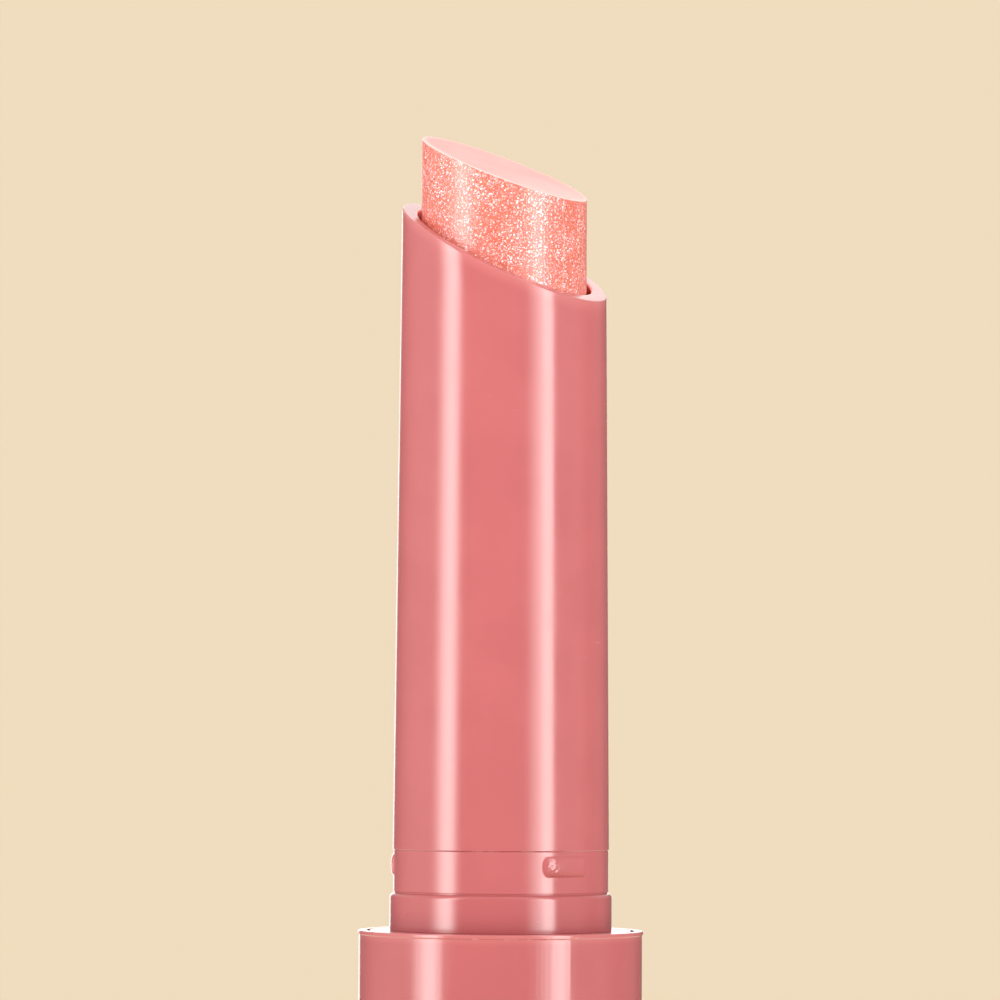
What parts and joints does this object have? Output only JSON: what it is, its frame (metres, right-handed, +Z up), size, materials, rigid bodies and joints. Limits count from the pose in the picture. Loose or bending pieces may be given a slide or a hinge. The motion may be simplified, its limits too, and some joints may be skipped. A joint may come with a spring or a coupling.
{
  "type": "twist-up lip gloss stick",
  "caption": "Slim twist-up lip gloss stick with a slanted sleeve and slanted balm, raised by turning the base; cap left off.",
  "frame": {"origin": "centre of the base's underside, on the stick's axis", "axes": "+Z up the stick's axis; +X towards the low side of the slanted sleeve and balm"},
  "size_m": [0.0144, 0.0144, 0.0831],
  "materials": {
    "base_shell": "glossy",
    "base_weight": "turned",
    "shade_label": "coated",
    "base_liner": "glossy",
    "spiral_tube": "moulded",
    "guide_tube": "moulded",
    "slot_end_ring": "moulded",
    "collar": "glossy",
    "torque_ring": "matte",
    "slanted_sleeve": "glossy",
    "pusher_tube": "moulded",
    "product_cup": "moulded",
    "balm_bullet": "satin, shimmering"
  },
  "bodies": {
    "base": {"base_shell": "base_shell", "base_weight": "base_weight", "shade_label": "shade_label", "base_liner": "base_liner", "spiral_tube": "spiral_tube"},
    "sleeve": {"slanted_sleeve": "slanted_sleeve", "collar": "collar", "torque_ring": "torque_ring", "guide_tube": "guide_tube", "slot_end_ring": "slot_end_ring"},
    "carrier": {"pusher_tube": "pusher_tube", "product_cup": "product_cup", "balm_bullet": "balm_bullet"}
  },
  "joints": [
    {"name": "base_twist", "type": "hinge", "parent": "base", "child": "sleeve", "pos_m": [0, 0, 0.02], "axis": [0, 0, 1], "range_deg": [-173, 548]},
    {"name": "bullet_slide", "type": "slide", "parent": "sleeve", "child": "carrier", "axis": [0, 0, 1], "range_m": [-0.006, 0.019]}
  ],
  "couplings": [
    {"joint": "base_twist", "follows": "bullet_slide", "rad_per_m": 502.65}
  ]
}
